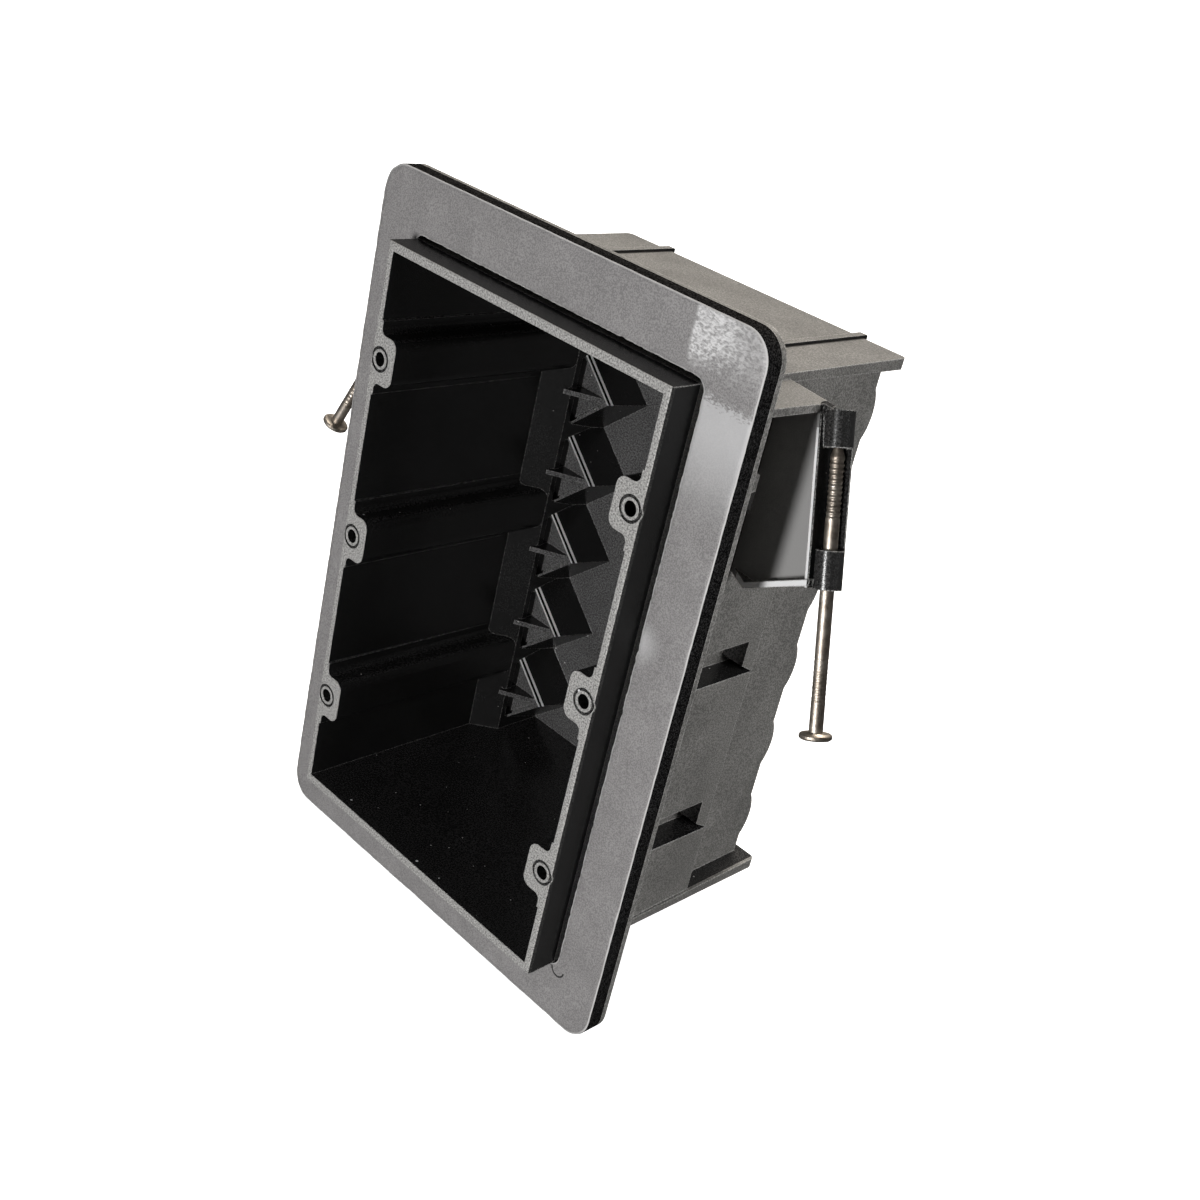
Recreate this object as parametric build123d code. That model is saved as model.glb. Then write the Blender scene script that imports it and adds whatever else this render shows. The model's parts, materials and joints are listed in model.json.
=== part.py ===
"""Three-gang nail-on junction box with a sealing flange, a foam gasket and two captive nails.

Frame: X runs across the box between each pair of device screws, Y runs into the wall, and Z runs along the
gangs up to the stud. The origin is the centre of the six device screws, on the plane of the collar's rim.
Lengths are millimetres and angles are degrees.
"""
from build123d import *
from math import cos, radians, sin, sqrt, tan
import os

# Device screws: three gangs side by side, one screw at each end of each gang
gang_count = 3
gang_pitch = 46.04
screw_span = 83.34
screw_bore = 3.4
screw_lip = 4.8
screw_groove = 6.2
screw_groove_deep = 0.5

# Collar and walls
wall = 2.0
rear_wall = 3.7
collar_half_width = 45.0
collar_half_height = 73.6
end_wall = 2.1
wall_draft = 0.5
bottom_draft = 1.3
corner_round = 0.8

# Depth of the box, measured back from the rim
foam_front = 8.3
flange_front = 12.7
flange_thick = 1.5
shoulder_start = 56.0
shoulder_step = 4.3
box_depth = 78.0

# Sealing flange and its gasket
flange_half_width = 59.4
flange_half_height = 88.5
flange_corner = 7.0
foam_gap = 0.9
foam_cut_corner = 3.0

# Stud plate and bottom plate: they run past the narrowed rear as wings
plate_overhang = 2.4
bottom_overhang = 2.0
plate_flare = 0.4
plate_taper_start = 35.0
plate_rear_thick = 2.8
plate_corner = 1.5
rib_place = 31.5
rib_wide = 2.0
rib_high = 0.7
rib_overhang = 1.6

# Screw bosses and the recess behind each one
boss_width = 11.8
boss_inner = 36.6
boss_corner = 2.4
boss_root = 1.6
recess_height = 9.2
recess_start = 16.0
recess_end = 51.5
recess_wall = 1.5
spur_reach = 4.5
spur_height = 2.4

# Wire entries: two rows of pockets in the rear corners, each closed by a flap
entries_per_gang = 2
entry_slope = 0.88
entry_base_half = 12.85
entry_rim_half = 10.0
entry_rim_depth = 64.0
entry_wall = 1.4
flap_half = 8.1
flap_face = 65.5
flap_thick = 1.5
groove_wide = 1.2
groove_deep = 0.8
flap_rib_thick = 1.3
flap_rib_high = 6.7
skirt_overhang = 1.8
tongue_long = 13.0
tongue_high = 1.9
pocket_skin = 1.6

# Nails: 2 1/2 in common nails, held splayed outwards in their brackets
nail_length = 63.5
nail_shank = 3.0
nail_head = 7.0
nail_head_thick = 1.3
nail_head_edge = 0.3
nail_point_long = 5.0
nail_splay = 20.05
nail_lean = 8.9
nail_head_reach = 84.5
nail_head_depth = 24.4
nail_head_height = 8.9
nail_clearance = 0.05

# Nail brackets: an upright web leaves the side wall and turns forward, and carries a tube for the nail
bracket_depth = 36.3
bracket_yaw = 9.5
web_thick = 2.0
web_top = 72.2
web_wall_bottom = 26.8
web_knee_reach = 8.3
tube_radius = 3.0
lower_collar_bottom = 38.0
lower_collar_top = 45.6
upper_collar_bottom = 65.0
upper_collar_top = 72.2
trough_radius = 1.7
trough_cut = 1.5
web_bite = 1.0
edge_rib_gap = 3.2
edge_rib_thick = 1.1
edge_rib_forward = 2.4
edge_rib_behind = 3.0
foot_thick = 1.5
foot_knee_forward = 3.7
foot_end_forward = 5.7
shelf_thick = 1.8
shelf_front_reach = 12.3

# Places worked out from the sizes above
flange_back = flange_front + flange_thick
shoulder_end = shoulder_start + shoulder_step
side_face = collar_half_width - wall_draft
rear_half_width = side_face - shoulder_step
inner_side = side_face - wall
inner_shoulder = shoulder_start - wall * tan(radians(45 / 2))
cavity_depth = box_depth - wall
cavity_rear_half = rear_half_width - rear_wall
boss_end = inner_shoulder + inner_side - cavity_rear_half
plate_back = box_depth + plate_overhang
skirt_end = box_depth + skirt_overhang
entry_pitch = gang_pitch / entries_per_gang
entry_line = cavity_rear_half + wall / 4
pocket_line = rear_half_width - pocket_skin
overcut = 1.0


def gang_heights():
    """Height of each gang's centre line."""
    first = -gang_pitch * (gang_count - 1) / 2
    return [first + gang_pitch * i for i in range(gang_count)]


def entry_heights():
    """Height of each wire entry, two to a gang."""
    count = gang_count * entries_per_gang
    first = -entry_pitch * (count - 1) / 2
    return [first + entry_pitch * i for i in range(count)]


def both_sides(shape):
    """A right-hand feature and its mirror image on the left."""
    return [shape, mirror(shape, about=Plane.YZ)]


def upright_prism(points, low, high):
    """Outline on the XY plane, raised from one height to another."""
    face = make_face(Polyline(*points, close=True))
    return Pos(0, 0, low) * extrude(face, amount=high - low)


def facing(depth):
    """Plane at one depth that faces forward."""
    return Plane(origin=(0, depth, 0), z_dir=(0, -1, 0), x_dir=(1, 0, 0))


def facing_slab(half_width, half_height, corner, front, back):
    """Rounded rectangle that faces forward, between two depths."""
    outline = RectangleRounded(2 * half_width, 2 * half_height, corner)
    return facing(back) * extrude(outline, amount=back - front)


def mirrored_outline(right):
    """Close an outline drawn for the right-hand half only."""
    return right + [(-x, y) for x, y in reversed(right)]


def outer_section():
    """Outside of the walls seen from above: rim, drafted side, shoulder and narrowed rear."""
    return mirrored_outline([
        (collar_half_width, 0),
        (side_face, shoulder_start),
        (rear_half_width, shoulder_end),
        (rear_half_width, box_depth),
    ])


def cavity_section():
    """Inside of the walls seen from above. The shoulder keeps the same wall as the sides."""
    return mirrored_outline([
        (collar_half_width - wall, -overcut),
        (inner_side, inner_shoulder),
        (cavity_rear_half, boss_end),
        (cavity_rear_half, cavity_depth),
    ])


def side_prism(points, half_width):
    """Outline seen from the side, as depth and height, carried across the box."""
    face = make_face(Plane.YZ * Polyline(*points, close=True))
    return extrude(face, amount=half_width, both=True)


def plate_height(depth, draft):
    """Height of an end plate's outer face at one depth."""
    return collar_half_height - draft * depth / box_depth


def between_ends(thickness):
    """Room between the flat stud plate and the drafted bottom plate, less a thickness at each."""
    reach = skirt_end + overcut
    top = collar_half_height - thickness
    return side_prism([
        (-overcut, top),
        (reach, top),
        (reach, thickness - plate_height(reach, bottom_draft)),
        (-overcut, thickness - plate_height(-overcut, bottom_draft)),
    ], collar_half_width + overcut)


def walls():
    """Outer form of the box: walls, flange and the two plates, before it is hollowed."""
    solid = upright_prism(outer_section(), -collar_half_height, collar_half_height)
    rim_edges = solid.edges().filter_by(Axis.Z).sort_by(Axis.Y)[:2]
    solid = fillet(rim_edges, corner_round) & between_ends(0)
    solid += facing_slab(flange_half_width, flange_half_height, flange_corner, flange_front, flange_back)
    bottom_plate = mirror(end_plate(plate_back + bottom_overhang, bottom_draft), about=Plane.XY)
    return solid + end_plate(plate_back, 0) + bottom_plate


def end_plate(back, draft):
    """Stud plate or bottom plate, which grows thicker to the rear where it stands free as a wing."""
    plate = side_prism([
        (flange_front, plate_height(flange_front, draft)),
        (back, plate_height(back, draft)),
        (back, plate_height(back, draft) - plate_rear_thick),
        (plate_taper_start, plate_height(plate_taper_start, draft) - end_wall),
        (flange_front, plate_height(flange_front, draft) - end_wall),
    ], collar_half_width + plate_flare)
    rear_corners = plate.edges().group_by(Axis.Y)[-1].filter_by(Axis.Z)
    return fillet(rear_corners, plate_corner)


def stud_ribs():
    """Two ribs along the stud plate, which run on past its rear edge and turn down over it."""
    end = plate_back + rib_overhang
    side = [
        (flange_front, collar_half_height - end_wall / 2),
        (flange_front, collar_half_height + rib_high),
        (end, collar_half_height + rib_high),
        (end, collar_half_height - plate_rear_thick),
        (plate_back - plate_corner, collar_half_height - plate_rear_thick),
        (plate_back - plate_corner, collar_half_height - end_wall / 2),
    ]
    rib = side_prism(side, rib_wide / 2)
    end_edges = rib.edges().filter_by(Axis.X).group_by(Axis.Y)[-1]
    rib = fillet(end_edges, rib_high * 0.7)
    return both_sides(Pos(rib_place, 0, 0) * rib)


def cavity():
    """The room for devices and wire inside the walls."""
    return upright_prism(cavity_section(), -collar_half_height, collar_half_height) & between_ends(end_wall)


def screw_boss():
    """Column behind one device screw, from the rim back to where it meets the narrowed wall."""
    root = side_face - wall / 2
    tab = Pos((boss_inner + root) / 2, 0) * Rectangle(root - boss_inner, boss_width)
    strip = Pos(root, 0) * Rectangle(wall, boss_width + 4 * boss_root)
    outline = tab + strip
    inner_corners = outline.vertices().group_by(Axis.X)[0]
    outline = fillet(inner_corners, boss_corner)
    root_corners = outline.vertices().filter_by(lambda v: abs(abs(v.Y) - boss_width / 2) < boss_root / 8)
    root_corners = root_corners.sort_by(Axis.X)[-2:]
    outline = fillet(root_corners, boss_root)
    column = facing(boss_end) * extrude(outline, amount=boss_end)
    return column & upright_prism(outer_section(), -gang_pitch, gang_pitch)


def screw_hole():
    """Bore for a device screw, with a raised lip left standing in a shallow ring."""
    centre = Plane(origin=(screw_span / 2, 0, 0), z_dir=(0, 1, 0))
    bore_long = recess_start + overcut
    bore = centre * Cylinder(screw_bore / 2, bore_long, align=(Align.CENTER, Align.CENTER, Align.MIN))
    ring = Circle(screw_groove / 2) - Circle(screw_lip / 2)
    return [bore, centre * extrude(ring, amount=screw_groove_deep)]


def boss_recess():
    """Recess that opens through the side wall behind a boss, with a small spur at its lower rear corner."""
    half = recess_height / 2
    floor = boss_inner + recess_wall
    depth = collar_half_width + overcut - floor
    middle = Plane.YZ.offset(floor)
    slot = Pos((recess_start + recess_end) / 2, 0) * Rectangle(recess_end - recess_start, recess_height)
    spur = make_face(Polyline(
        (recess_end - overcut, -half),
        (recess_end + spur_reach, -half),
        (recess_end, spur_height - half),
        (recess_end - overcut, spur_height - half),
        close=True,
    ))
    return [middle * extrude(outline, amount=depth) for outline in (slot, spur)]


def entry_outline(half, depth, line=None):
    """Triangle of a wire entry at one depth: its base stands on the side wall and its tip points inward."""
    base = line or entry_line
    points = [(base, depth, -half), (base, depth, half), (base - half / entry_slope, depth, 0)]
    return make_face(Polyline(*points, close=True))


def entry_half(depth):
    """Half height of a wire entry's raised housing at one depth."""
    share = (depth - entry_rim_depth) / (cavity_depth - entry_rim_depth)
    return entry_rim_half + share * (entry_base_half - entry_rim_half)


def flap_rib():
    """Thin rib that stands on a flap along its middle, highest at the side wall."""
    tip = entry_line - flap_half / entry_slope
    seat = flap_face + flap_thick / 2
    side = [(entry_line, flap_face - flap_rib_high), (tip, flap_face), (tip, seat), (entry_line, seat)]
    return extrude(make_face(Polyline(*side, close=True)), amount=flap_rib_thick / 2, both=True)


def rear_skirt():
    """Thin edge of the narrowed wall that runs on past the back wall."""
    outline = [
        (pocket_line, cavity_depth),
        (rear_half_width, cavity_depth),
        (rear_half_width, skirt_end),
        (pocket_line, skirt_end),
    ]
    return upright_prism(outline, -collar_half_height, collar_half_height) & between_ends(0)


def entry_tongue():
    """Rounded tongue on the skirt behind one entry, so that the wall's rear edge is scalloped."""
    radius = (tongue_long ** 2 / 4 + tongue_high ** 2) / (2 * tongue_high)
    disc = Pos(skirt_end + tongue_high - radius, 0) * Circle(radius)
    behind = Pos(skirt_end - wall / 2 + radius, 0) * Rectangle(2 * radius, 2 * radius)
    return extrude(Plane.YZ.offset(pocket_line) * (disc & behind), amount=pocket_skin)


def entry_housing():
    """Raised housing of one wire entry on the back wall."""
    base = cavity_depth + wall / 2
    return loft([entry_outline(entry_rim_half, entry_rim_depth), entry_outline(entry_half(base), base)])


def entry_panel():
    """Sunk panel of one flap, with the groove along its two free sides where it tears open."""
    front = entry_rim_depth - overcut
    rim_half = flap_half + groove_wide
    panel = extrude(entry_outline(rim_half, front), amount=flap_face - front, dir=(0, 1, 0))
    groove = extrude(entry_outline(rim_half, flap_face), amount=groove_deep, dir=(0, 1, 0))
    flap_long = overcut + 2 * groove_deep
    flap = extrude(entry_outline(flap_half, flap_face - overcut), amount=flap_long, dir=(0, 1, 0))
    return [panel, groove - flap]


def entry_pocket():
    """Pocket behind one flap, open to the rear, where the cable is pushed in."""
    front = flap_face + flap_thick
    back = box_depth + overcut
    inset = entry_wall * sqrt(1 + entry_slope ** 2) - entry_slope * (pocket_line - entry_line)
    pocket = loft([
        entry_outline(entry_half(front) - inset, front, pocket_line),
        entry_outline(entry_half(back) - inset, back, pocket_line),
    ])
    between_walls = Box(4 * rear_half_width, 4 * box_depth, entry_pitch - entry_wall)
    return pocket & between_walls


bracket_plane = Plane(
    origin=(side_face, bracket_depth, 0),
    x_dir=(cos(radians(bracket_yaw)), -sin(radians(bracket_yaw)), 0),
    z_dir=(-sin(radians(bracket_yaw)), -cos(radians(bracket_yaw)), 0),
)


def nail_axis(height):
    """Point on the nail's axis at one height."""
    rise = height - nail_head_height
    return Vector(
        nail_head_reach - rise * tan(radians(nail_splay)),
        nail_head_depth + rise * tan(radians(nail_lean)),
        height,
    )


def nail_plane(height):
    """Plane across the nail at one height: its normal points at the stud, its X points forward."""
    towards_stud = (nail_axis(height + 1) - nail_axis(height)).normalized()
    sideways = towards_stud.cross(bracket_plane.z_dir).normalized()
    return Plane(origin=nail_axis(height), x_dir=sideways.cross(towards_stud), z_dir=towards_stud)


def along_nail(low, high):
    """Length along the nail between two heights."""
    return (nail_axis(high) - nail_axis(low)).length


def reach_at(height, inside):
    """Reach from the side wall, in the web's plane, of a line that runs beside the nail's axis."""
    return bracket_plane.to_local_coords(nail_axis(height)).X - inside / cos(radians(nail_splay))


def bracket_plate(points, behind, forward):
    """Plate drawn on the bracket's plane, as reach and height, from behind the plane to in front of it."""
    face = bracket_plane.offset(-behind) * make_face(Polyline(*points, close=True))
    return extrude(face, amount=behind + forward)


def bracket_web():
    """Web from the side wall out to the nail's tube."""
    half = web_thick / 2
    inside = -wall / 2
    return bracket_plate([
        (inside, web_wall_bottom),
        (web_knee_reach, web_wall_bottom),
        (reach_at(lower_collar_bottom, web_bite), lower_collar_bottom),
        (reach_at(web_top, web_bite), web_top),
        (inside, web_top),
    ], half, half)


def bracket_edge_rib():
    """Rib that stands forward along the web's outer edge, beside the nail."""
    return nail_plane(lower_collar_bottom) * Pos(-edge_rib_behind, -edge_rib_gap - edge_rib_thick, 0) * Box(
        edge_rib_behind + edge_rib_forward,
        edge_rib_thick,
        along_nail(lower_collar_bottom, web_top - shelf_thick / 2),
        align=Align.MIN,
    )


def bracket_foot():
    """Ledge that stands forward along the web's foot, and widens on its way out to the tube."""
    end = reach_at(lower_collar_bottom, edge_rib_gap - web_bite)
    ledge = bracket_plate([
        (-wall / 2, web_wall_bottom),
        (web_knee_reach, web_wall_bottom),
        (end, lower_collar_bottom),
        (end, lower_collar_bottom + foot_thick),
        (web_knee_reach, web_wall_bottom + foot_thick),
        (-wall / 2, web_wall_bottom + foot_thick),
    ], web_thick / 2, foot_end_forward)
    plan = [
        (-wall / 2, 0),
        (web_knee_reach, foot_knee_forward),
        (end, foot_end_forward),
        (end, -web_thick / 2),
        (-wall / 2, -web_thick / 2),
    ]
    corners = [bracket_plane.from_local_coords((reach, 0, forward)) for reach, forward in plan]
    return ledge & upright_prism([(corner.X, corner.Y) for corner in corners], 0, collar_half_height)


def bracket_shelf():
    """Shelf that closes the top of the bracket, from the flange back to the web."""
    outer = bracket_plane.from_local_coords((reach_at(web_top, edge_rib_gap), web_top, -web_thick / 2))
    inside = side_face - wall / 2
    seat = flange_back - flange_thick / 2
    outline = [
        (inside, seat),
        (side_face + shelf_front_reach, seat),
        (outer.X, outer.Y),
        (inside, bracket_depth + web_thick / 2),
    ]
    return upright_prism(outline, web_top - shelf_thick, web_top)


def rod(height, length, radius):
    """Cylinder round the nail's axis, upwards from one height."""
    return nail_plane(height) * Cylinder(radius, length, align=(Align.CENTER, Align.CENTER, Align.MIN))


def nail_guide():
    """Tube round the nail: closed collars at its ends, and an open trough between them."""
    tube = rod(lower_collar_bottom, along_nail(lower_collar_bottom, upper_collar_top), tube_radius)
    window_length = along_nail(lower_collar_top, upper_collar_bottom)
    window = nail_plane(lower_collar_top) * Pos(-trough_cut, -edge_rib_gap, 0) * Box(
        2 * tube_radius,
        edge_rib_gap + 2 * tube_radius,
        window_length,
        align=Align.MIN,
    )
    return tube, [window, rod(lower_collar_top, window_length, trough_radius)]


def nail_bracket():
    """Right-hand nail bracket."""
    tube, openings = nail_guide()
    solid = tube + bracket_web() + bracket_edge_rib() + bracket_foot() + bracket_shelf()
    bore_length = along_nail(0, collar_half_height + 2 * tube_radius)
    return solid - openings - rod(0, bore_length, nail_shank / 2 + nail_clearance)


def nail():
    """Right-hand nail, turned about its axis, with its head at the bottom."""
    shank = nail_shank / 2
    head = nail_head / 2
    profile = [
        (0, 0),
        (head - nail_head_edge, 0),
        (head, nail_head_edge),
        (head, nail_head_thick - nail_head_edge),
        (head - nail_head_edge, nail_head_thick),
        (shank, nail_head_thick),
        (shank, nail_length - nail_point_long),
        (0, nail_length),
    ]
    face = make_face(Plane.XZ * Polyline(*profile, close=True))
    return nail_plane(nail_head_height) * revolve(face, Axis.Z)


def box_body():
    """The whole moulding."""
    body = walls() - cavity()
    body += both_sides(nail_bracket())
    body += [*stud_ribs(), *both_sides(rear_skirt())]
    for height in gang_heights():
        body += both_sides(Pos(0, 0, height) * screw_boss())
    for height in entry_heights():
        for part in (entry_housing(), entry_tongue()):
            body += both_sides(Pos(0, 0, height) * part)
    for height in entry_heights():
        for cut in [*entry_panel(), entry_pocket()]:
            body -= both_sides(Pos(0, 0, height) * cut)
        body += both_sides(Pos(0, 0, height) * flap_rib())
    for height in gang_heights():
        for cut in screw_hole() + boss_recess():
            body -= both_sides(Pos(0, 0, height) * cut)
    return body


def foam_gasket():
    """Foam sheet stuck on the front of the flange, cut out round the collar."""
    sheet = facing_slab(flange_half_width, flange_half_height, flange_corner, foam_front, flange_front)
    opening = facing_slab(
        collar_half_width + foam_gap,
        collar_half_height + foam_gap,
        foam_cut_corner,
        foam_front - overcut,
        flange_front + overcut,
    )
    return sheet - opening


right_nail = nail()
parts = {
    "box_body": box_body(),
    "foam_gasket": foam_gasket(),
    "nail_right": right_nail,
    "nail_left": mirror(right_nail, about=Plane.YZ),
}

os.makedirs("parts", exist_ok=True)
for name, shape in parts.items():
    export_step(shape, f"parts/{name}.step")
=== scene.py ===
# %% [markdown]
# # A three-gang junction box, dressed for its portrait
# The box is one grey moulding with a foam gasket stuck on its flange and a splayed nail in each side
# bracket. The moulding is already right as a solid, so it keeps its own mesh and gets a finish. The foam
# and the nails carry detail that is finer than a solid should hold, such as a crinkled skin and rolled
# rings, so they are built again here, inside the solids that they stand for.

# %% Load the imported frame
import json
import math

import bmesh
import bpy
from mathutils import Euler, Matrix, Vector, noise


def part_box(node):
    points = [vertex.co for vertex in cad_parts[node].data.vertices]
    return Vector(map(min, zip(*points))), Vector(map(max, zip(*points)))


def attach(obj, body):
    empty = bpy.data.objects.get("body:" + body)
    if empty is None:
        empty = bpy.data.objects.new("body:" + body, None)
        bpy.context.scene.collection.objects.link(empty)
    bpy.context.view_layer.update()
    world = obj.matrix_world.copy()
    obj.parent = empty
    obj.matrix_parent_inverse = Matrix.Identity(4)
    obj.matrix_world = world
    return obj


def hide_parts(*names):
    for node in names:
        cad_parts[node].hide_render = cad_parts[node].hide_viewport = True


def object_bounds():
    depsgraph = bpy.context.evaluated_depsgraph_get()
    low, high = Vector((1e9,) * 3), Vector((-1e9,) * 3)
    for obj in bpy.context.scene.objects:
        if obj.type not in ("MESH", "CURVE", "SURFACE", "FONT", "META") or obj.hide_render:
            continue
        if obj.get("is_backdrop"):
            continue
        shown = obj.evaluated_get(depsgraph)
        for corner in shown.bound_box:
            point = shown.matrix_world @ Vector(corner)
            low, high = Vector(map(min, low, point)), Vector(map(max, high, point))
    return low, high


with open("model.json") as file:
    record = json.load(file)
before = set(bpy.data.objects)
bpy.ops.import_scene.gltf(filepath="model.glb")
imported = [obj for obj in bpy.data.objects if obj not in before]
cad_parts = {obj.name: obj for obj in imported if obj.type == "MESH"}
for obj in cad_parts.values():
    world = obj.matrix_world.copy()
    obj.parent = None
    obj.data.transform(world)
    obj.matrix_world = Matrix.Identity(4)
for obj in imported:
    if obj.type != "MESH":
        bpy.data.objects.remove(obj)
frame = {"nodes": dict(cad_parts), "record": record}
body = frame["nodes"]["box_body"]
mm = 0.001
cad_box = [list(corner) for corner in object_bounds()]


def in_mm(lengths, digits=1):
    """Lengths in metres as rounded millimetres, for printing."""
    return [round(length / mm, digits) for length in lengths]


def mount_named(name):
    """One mount of the part's record."""
    return next(mount for mount in frame["record"]["mounts"] if mount["name"] == name)


print("solid box in mm:", [in_mm(corner) for corner in cad_box])

# %% [markdown]
# ## The camera
# The photograph was matched by fitting a camera to the six screw holes, whose spacing is standard. That
# gives the place, the turn and the lens below. The picture is square, so the sensor's width holds its
# full height too.

# %% Stand the camera where the photograph was taken
camera_place = Vector((226.2, -227.7, 166.7)) * mm
camera_turn = Euler([math.radians(angle) for angle in (63.485, -12.144, 45.326)])
camera_sensor = 36.0
camera_lens = 46.97


def stand_camera():
    """Make the camera and make it the scene's own."""
    data = bpy.data.cameras.new("camera")
    data.sensor_width = camera_sensor
    data.sensor_height = camera_sensor
    data.lens = camera_lens
    data.clip_start = 10 * mm
    data.clip_end = 20.0
    camera = bpy.data.objects.new("camera", data)
    camera.location = camera_place
    camera.rotation_euler = camera_turn
    bpy.context.scene.collection.objects.link(camera)
    bpy.context.scene.camera = camera
    return camera


camera = stand_camera()
print("camera stands", round(camera_place.length / mm), "mm from the screw pattern's centre")

# %% [markdown]
# ## Small helpers for shader trees
# A material is a graph of nodes. Short helpers keep that graph readable. They place a node and fill its
# inputs by name, make ramps, mixes and sums, turn measures into masks, and start groups and materials.
# One more helper turns a finished mesh into an object.

# %% Helpers that place nodes
# The Mix node has a set of sockets for each kind of data. These numbers are those for colours.
mix_factor, mix_first, mix_second, mix_colour = 0, 6, 7, 2


def feed(tree, socket, value):
    """Link a socket to another one, or give it a plain value."""
    if isinstance(value, bpy.types.NodeSocket):
        tree.links.new(value, socket)
    else:
        socket.default_value = value


def fill(tree, node, **inputs):
    """Fill a node's inputs by name. Spaces are underscores, and i0 stands for the first input."""
    for name, value in inputs.items():
        numbered = name[0] == "i" and name[1:].isdigit()
        feed(tree, node.inputs[int(name[1:]) if numbered else name.replace("_", " ")], value)
    return node


def place(tree, kind, settings=None, **inputs):
    """Add a node, apply its settings, then fill its inputs."""
    node = tree.nodes.new(kind)
    for name, value in (settings or {}).items():
        setattr(node, name, value)
    return fill(tree, node, **inputs)


def grey(value):
    """An even grey as a colour."""
    return (value, value, value)


def with_alpha(colour):
    """A colour of three numbers gets its fourth. A link passes unchanged."""
    return (*colour, 1.0) if isinstance(colour, tuple) else colour


def ramp(tree, factor, *stops):
    """A colour ramp from (position, colour) stops."""
    node = place(tree, "ShaderNodeValToRGB", Fac=factor)
    elements = node.color_ramp.elements
    while len(elements) < len(stops):
        elements.new(0.5)
    for element, (position, colour) in zip(elements, stops):
        element.position = position
        element.color = with_alpha(colour)
    return node.outputs["Color"]


def mixed(tree, factor, first, second, blend="MIX"):
    """Mix two colours by a mask."""
    node = place(tree, "ShaderNodeMix", {"data_type": "RGBA", "blend_type": blend})
    feed(tree, node.inputs[mix_factor], factor)
    feed(tree, node.inputs[mix_first], with_alpha(first))
    feed(tree, node.inputs[mix_second], with_alpha(second))
    return node.outputs[mix_colour]


def sums(tree, operation, first, second=0.0, third=0.0, clamp=False):
    """One step of arithmetic on masks or heights."""
    node = place(tree, "ShaderNodeMath", {"operation": operation, "use_clamp": clamp})
    for socket, value in zip(node.inputs, (first, second, third)):
        feed(tree, socket, value)
    return node.outputs[0]


def vectors(tree, operation, first, second=(0.0, 0.0, 0.0)):
    """One step of arithmetic on vectors, which gives a Vector or a Value."""
    return place(tree, "ShaderNodeVectorMath", {"operation": operation}, i0=first, i1=second).outputs


def over(tree, value, limit):
    """Mask of where a value is over a limit."""
    return sums(tree, "GREATER_THAN", value, limit)


def under(tree, value, limit):
    """Mask of where a value is under a limit."""
    return sums(tree, "LESS_THAN", value, limit)


def within(tree, value, limit):
    """Mask of where a value's size, whatever its sign, is under a limit."""
    return under(tree, sums(tree, "ABSOLUTE", value), limit)


def opposite(tree, mask):
    """Mask of where another mask doesn't hold."""
    return sums(tree, "SUBTRACT", 1.0, mask)


def all_of(tree, *masks):
    """Mask of where every mask holds."""
    whole = masks[0]
    for mask in masks[1:]:
        whole = sums(tree, "MULTIPLY", whole, mask)
    return whole


def fade(tree, value, start, stop):
    """Mask that rises softly from 0 at start to 1 at stop, or falls where stop is the smaller."""
    settings = {"interpolation_type": "SMOOTHSTEP"}
    node = place(tree, "ShaderNodeMapRange", settings, Value=value, From_Min=start, From_Max=stop)
    return node.outputs["Result"]


def object_place(tree):
    """The shaded point in the object's own coordinates."""
    return place(tree, "ShaderNodeTexCoord").outputs["Object"]


def face_normal(tree):
    """The way that the shaded face looks."""
    return place(tree, "ShaderNodeNewGeometry").outputs["Normal"]


def parts_of(tree, vector):
    """The X, Y and Z of a vector."""
    return place(tree, "ShaderNodeSeparateXYZ", Vector=vector).outputs


def new_group(name, inputs, outputs):
    """Start a shader group with float inputs (name, value) and outputs (name, kind)."""
    tree = bpy.data.node_groups.new(name, "ShaderNodeTree")
    for label, value in inputs:
        socket = tree.interface.new_socket(name=label, in_out="INPUT", socket_type="NodeSocketFloat")
        socket.default_value = value
    for label, kind in outputs:
        tree.interface.new_socket(name=label, in_out="OUTPUT", socket_type=kind)
    return tree, tree.nodes.new("NodeGroupInput").outputs, tree.nodes.new("NodeGroupOutput").inputs


def use_group(tree, group, **inputs):
    """Place a group in a material with its own values."""
    return place(tree, "ShaderNodeGroup", {"node_tree": group}, **inputs).outputs


def new_material(name):
    """Start a material and return it with its tree and its shader."""
    material = bpy.data.materials.new(name)
    material.use_nodes = True
    return material, material.node_tree, material.node_tree.nodes["Principled BSDF"]


def smooth_object(mesh, name):
    """Turn a working mesh into a smooth object in the scene."""
    bmesh.ops.recalc_face_normals(mesh, faces=mesh.faces)
    data = bpy.data.meshes.new(name)
    mesh.to_mesh(data)
    mesh.free()
    for face in data.polygons:
        face.use_smooth = True
    piece = bpy.data.objects.new(name, data)
    bpy.context.scene.collection.objects.link(piece)
    return piece


print("helpers ready")

# %% [markdown]
# ## Grain shared by every finish
# Under the studio light the whole box shows a fine grain: the tool's texture in the plastic, pores in
# the foam, scale on the nails. One group gives a fine grain, a slow mottle and sparse bright specks, all
# in millimetres, and each material places it with its own sizes.

# %% Build the grain group
speck_share = 0.14


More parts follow.
